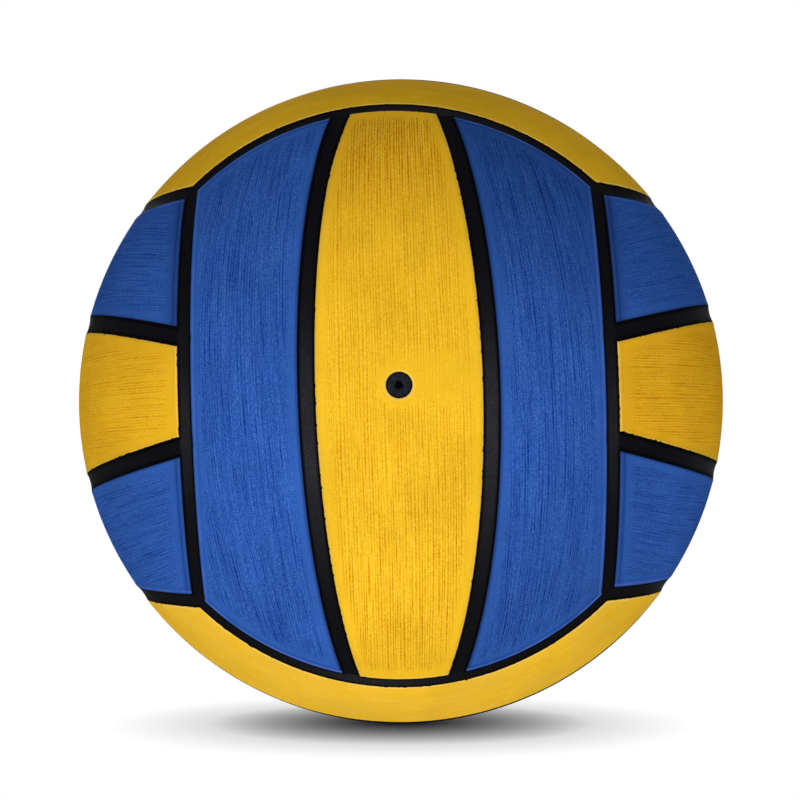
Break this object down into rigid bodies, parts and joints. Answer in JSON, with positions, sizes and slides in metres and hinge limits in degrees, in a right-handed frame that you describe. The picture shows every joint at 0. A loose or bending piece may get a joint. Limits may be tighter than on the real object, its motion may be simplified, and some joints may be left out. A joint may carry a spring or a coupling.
{
  "type": "water polo ball",
  "caption": "Round rubber water polo ball in yellow and blue strips with black seams, and a push-in valve core that takes an inflation needle.",
  "frame": {"origin": "centre of the ball", "axes": "-Y out through the middle of the valve, which is in the middle of the front face; +Z along the front face's strips, up in the picture; +X to the right as seen from the valve's side"},
  "size_m": [0.22, 0.2199, 0.22],
  "materials": {
    "yellow_cover_rubber": "matt moulded grip ridges",
    "blue_cover_rubber": "matt moulded grip ridges",
    "black_seam_rubber": "smooth satin",
    "carcass_rubber": "matt",
    "wound_nylon_thread": "wound thread",
    "butyl_rubber": "smooth matt",
    "black_valve_rubber": "smooth satin"
  },
  "bodies": {
    "ball": {"front_left_panel": "blue_cover_rubber", "front_middle_panel": "yellow_cover_rubber", "front_right_panel": "blue_cover_rubber", "back_left_panel": "blue_cover_rubber", "back_middle_panel": "yellow_cover_rubber", "back_right_panel": "blue_cover_rubber", "left_upper_panel": "blue_cover_rubber", "left_middle_panel": "yellow_cover_rubber", "left_lower_panel": "blue_cover_rubber", "right_upper_panel": "blue_cover_rubber", "right_middle_panel": "yellow_cover_rubber", "right_lower_panel": "blue_cover_rubber", "top_front_panel": "yellow_cover_rubber", "top_middle_panel": "blue_cover_rubber", "top_back_panel": "yellow_cover_rubber", "bottom_front_panel": "yellow_cover_rubber", "bottom_middle_panel": "blue_cover_rubber", "bottom_back_panel": "yellow_cover_rubber", "front_left_edge_seam": "black_seam_rubber", "front_left_inner_seam": "black_seam_rubber", "front_right_inner_seam": "black_seam_rubber", "front_right_edge_seam": "black_seam_rubber", "back_left_edge_seam": "black_seam_rubber", "back_left_inner_seam": "black_seam_rubber", "back_right_inner_seam": "black_seam_rubber", "back_right_edge_seam": "black_seam_rubber", "left_upper_edge_seam": "black_seam_rubber", "left_upper_inner_seam": "black_seam_rubber", "left_lower_inner_seam": "black_seam_rubber", "left_lower_edge_seam": "black_seam_rubber", "right_upper_edge_seam": "black_seam_rubber", "right_upper_inner_seam": "black_seam_rubber", "right_lower_inner_seam": "black_seam_rubber", "right_lower_edge_seam": "black_seam_rubber", "top_front_edge_seam": "black_seam_rubber", "top_front_inner_seam": "black_seam_rubber", "top_back_inner_seam": "black_seam_rubber", "top_back_edge_seam": "black_seam_rubber", "bottom_front_edge_seam": "black_seam_rubber", "bottom_front_inner_seam": "black_seam_rubber", "bottom_back_inner_seam": "black_seam_rubber", "bottom_back_edge_seam": "black_seam_rubber", "carcass": "carcass_rubber", "nylon_winding": "wound_nylon_thread", "bladder": "butyl_rubber", "valve_patch": "butyl_rubber", "valve_body": "black_valve_rubber"},
    "valve_core": {"valve_core": "black_valve_rubber"}
  },
  "joints": [
    {"name": "valve_core_pull", "type": "slide", "parent": "ball", "child": "valve_core", "axis": [0, -1, 0], "range_m": [0, 0.02]}
  ]
}
